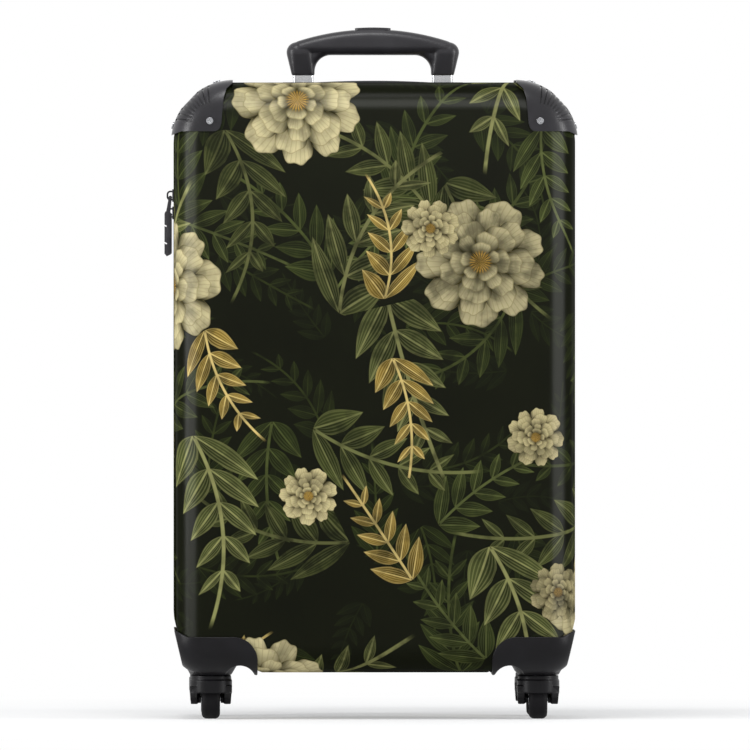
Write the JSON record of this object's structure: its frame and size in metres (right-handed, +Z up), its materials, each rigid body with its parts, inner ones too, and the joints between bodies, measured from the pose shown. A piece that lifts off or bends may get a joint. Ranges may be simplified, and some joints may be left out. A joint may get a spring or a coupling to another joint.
{
  "type": "suitcase",
  "caption": "Hard-shell upright cabin suitcase: printed shell halves, corner guards, swivelling casters, telescopic trolley handle and zip-round lid on a cloth hinge.",
  "frame": {"origin": "floor level under the middle of the case, midway between the front and back faces", "axes": "+X to the right seen from the front, +Y from the front face to the back, +Z up"},
  "size_m": [0.3568, 0.2076, 0.5981],
  "materials": {
    "shell": "satin, printed all over with a botanical design",
    "guard_plastic": "fine grain, satin",
    "housing_plastic": "satin",
    "handle_plastic": "fine grain, satin",
    "screws": "polished",
    "zip_tape": "woven tape",
    "zip_chain": "coil, satin",
    "zip_metal": "dark satin",
    "lining": "woven lining",
    "tube_aluminium": "drawn, anodised",
    "steel": "plain",
    "wheel": "matte"
  },
  "bodies": {
    "rear_half": {"rear_shell": "shell", "top_guard_rear_left": "guard_plastic", "top_guard_rear_right": "guard_plastic", "wheel_housing_rear_left": "housing_plastic", "wheel_housing_rear_right": "housing_plastic", "guard_screws_rear": "screws", "zip_tape_rear": "zip_tape", "zip_chain_rear": "zip_chain", "lining_rear": "lining", "trolley_cover": "lining", "outer_tube_left": "tube_aluminium", "outer_tube_right": "tube_aluminium", "tube_collar_left": "handle_plastic", "tube_collar_right": "handle_plastic", "tube_foot_left": "handle_plastic", "tube_foot_right": "handle_plastic", "carry_recess": "handle_plastic", "carry_pins": "steel"},
    "front_half": {"front_shell": "shell", "top_guard_front_left": "guard_plastic", "top_guard_front_right": "guard_plastic", "wheel_housing_front_left": "housing_plastic", "wheel_housing_front_right": "housing_plastic", "guard_screws_front": "screws", "zip_tape_front": "zip_tape", "zip_chain_front": "zip_chain", "lining_front": "lining"},
    "trolley_middle": {"middle_tube_left": "tube_aluminium", "middle_tube_right": "tube_aluminium"},
    "trolley_handle": {"inner_tube_left": "tube_aluminium", "inner_tube_right": "tube_aluminium", "trolley_grip": "handle_plastic"},
    "handle_button": {"release_button": "handle_plastic"},
    "carry_bail": {"carry_handle": "handle_plastic"},
    "upper_slider": {"zip_slider_upper": "zip_metal"},
    "upper_pull": {"zip_pull_upper": "zip_metal"},
    "lower_slider": {"zip_slider_lower": "zip_metal"},
    "lower_pull": {"zip_pull_lower": "zip_metal"},
    "caster_front_left": {"caster_fork_front_left": "housing_plastic", "caster_stem_front_left": "steel", "caster_axle_front_left": "steel"},
    "wheel_front_left": {"caster_wheel_front_left": "wheel"},
    "caster_front_right": {"caster_fork_front_right": "housing_plastic", "caster_stem_front_right": "steel", "caster_axle_front_right": "steel"},
    "wheel_front_right": {"caster_wheel_front_right": "wheel"},
    "caster_rear_left": {"caster_fork_rear_left": "housing_plastic", "caster_stem_rear_left": "steel", "caster_axle_rear_left": "steel"},
    "wheel_rear_left": {"caster_wheel_rear_left": "wheel"},
    "caster_rear_right": {"caster_fork_rear_right": "housing_plastic", "caster_stem_rear_right": "steel", "caster_axle_rear_right": "steel"},
    "wheel_rear_right": {"caster_wheel_rear_right": "wheel"}
  },
  "joints": [
    {"name": "lid_hinge", "type": "hinge", "parent": "rear_half", "child": "front_half", "pos_m": [0.1765, 0, 0.3], "axis": [0, 0, 1], "range_deg": [0, 180]},
    {"name": "trolley_stage_one", "type": "slide", "parent": "rear_half", "child": "trolley_middle", "axis": [0, 0, 1], "range_m": [0, 0.19]},
    {"name": "trolley_stage_two", "type": "slide", "parent": "trolley_middle", "child": "trolley_handle", "axis": [0, 0, 1], "range_m": [0, 0.2]},
    {"name": "button_press", "type": "slide", "parent": "trolley_handle", "child": "handle_button", "axis": [0, 0, -1], "range_m": [0, 0.0025], "stiffness_N_per_m": 600, "springref_m": -0.003},
    {"name": "carry_handle_lift", "type": "hinge", "parent": "rear_half", "child": "carry_bail", "pos_m": [0, 0.0318, 0.5435], "axis": [1, 0, 0], "range_deg": [0, 95]},
    {"name": "upper_slider_run", "type": "slide", "parent": "rear_half", "child": "upper_slider", "axis": [0, 0, 1], "range_m": [0, 0.03]},
    {"name": "upper_pull_swing", "type": "hinge", "parent": "upper_slider", "child": "upper_pull", "pos_m": [-0.17625, 0, 0.4503], "axis": [0, 1, 0], "range_deg": [0, 150]},
    {"name": "lower_slider_run", "type": "slide", "parent": "rear_half", "child": "lower_slider", "axis": [0, 0, 1], "range_m": [-0.33, 0]},
    {"name": "lower_pull_swing", "type": "hinge", "parent": "lower_slider", "child": "lower_pull", "pos_m": [-0.17625, 0, 0.4353], "axis": [0, 1, 0], "range_deg": [0, 150]},
    {"name": "swivel_front_left", "type": "hinge", "parent": "front_half", "child": "caster_front_left", "pos_m": [-0.1414, -0.058, 0.038], "axis": [0, 0, 1], "continuous": true},
    {"name": "roll_front_left", "type": "hinge", "parent": "caster_front_left", "child": "wheel_front_left", "pos_m": [-0.1414, -0.05, 0.0175], "axis": [1, 0, 0], "continuous": true},
    {"name": "swivel_front_right", "type": "hinge", "parent": "front_half", "child": "caster_front_right", "pos_m": [0.1414, -0.058, 0.038], "axis": [0, 0, 1], "continuous": true},
    {"name": "roll_front_right", "type": "hinge", "parent": "caster_front_right", "child": "wheel_front_right", "pos_m": [0.1414, -0.05, 0.0175], "axis": [1, 0, 0], "continuous": true},
    {"name": "swivel_rear_left", "type": "hinge", "parent": "rear_half", "child": "caster_rear_left", "pos_m": [-0.1414, 0.058, 0.038], "axis": [0, 0, 1], "continuous": true},
    {"name": "roll_rear_left", "type": "hinge", "parent": "caster_rear_left", "child": "wheel_rear_left", "pos_m": [-0.1414, 0.066, 0.0175], "axis": [1, 0, 0], "continuous": true},
    {"name": "swivel_rear_right", "type": "hinge", "parent": "rear_half", "child": "caster_rear_right", "pos_m": [0.1414, 0.058, 0.038], "axis": [0, 0, 1], "continuous": true},
    {"name": "roll_rear_right", "type": "hinge", "parent": "caster_rear_right", "child": "wheel_rear_right", "pos_m": [0.1414, 0.066, 0.0175], "axis": [1, 0, 0], "continuous": true}
  ]
}
